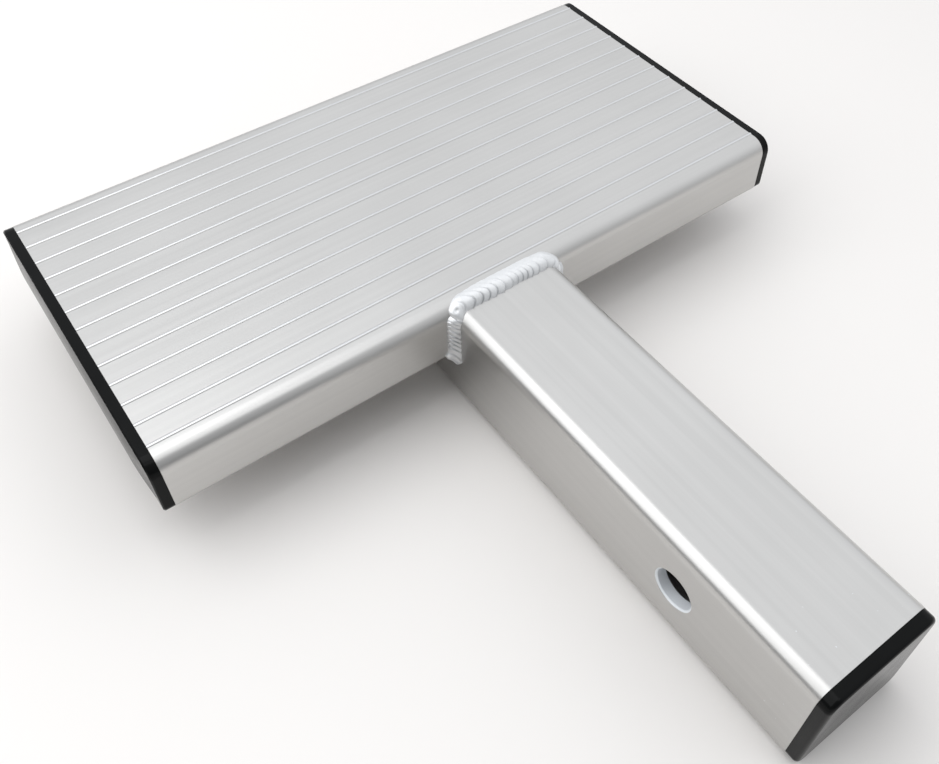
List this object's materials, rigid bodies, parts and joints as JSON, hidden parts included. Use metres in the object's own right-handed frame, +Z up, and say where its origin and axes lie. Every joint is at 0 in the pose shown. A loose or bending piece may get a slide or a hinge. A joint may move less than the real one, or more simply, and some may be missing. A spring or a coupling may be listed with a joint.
{
  "type": "hitch receiver step",
  "caption": "Bumper step for a tow hitch: a hollow aluminium tread with grip ridges and black end caps, welded to a square shank tube that slides into a receiver and takes a cross pin.",
  "frame": {"origin": "centre of the cross pin's hole, on the axis of the square shank tube", "axes": "+X along the tread and along the pin; +Y from the shank's free end towards the tread, so the step is pushed into a receiver along -Y; +Z up out of the tread's top"},
  "size_m": [0.3088, 0.3454, 0.0544],
  "materials": {
    "tread_aluminium": "satin, extruded",
    "tube_aluminium": "satin, extruded",
    "cap_plastic": "satin, moulded",
    "weld_metal": "frosted, as welded"
  },
  "bodies": {
    "root": {"tread": "tread_aluminium", "shank_tube": "tube_aluminium", "tread_cap_left": "cap_plastic", "tread_cap_right": "cap_plastic", "shank_cap": "cap_plastic", "weld_top": "weld_metal", "weld_left": "weld_metal", "weld_right": "weld_metal", "weld_under_left": "weld_metal", "weld_under_right": "weld_metal"}
  },
  "joints": []
}
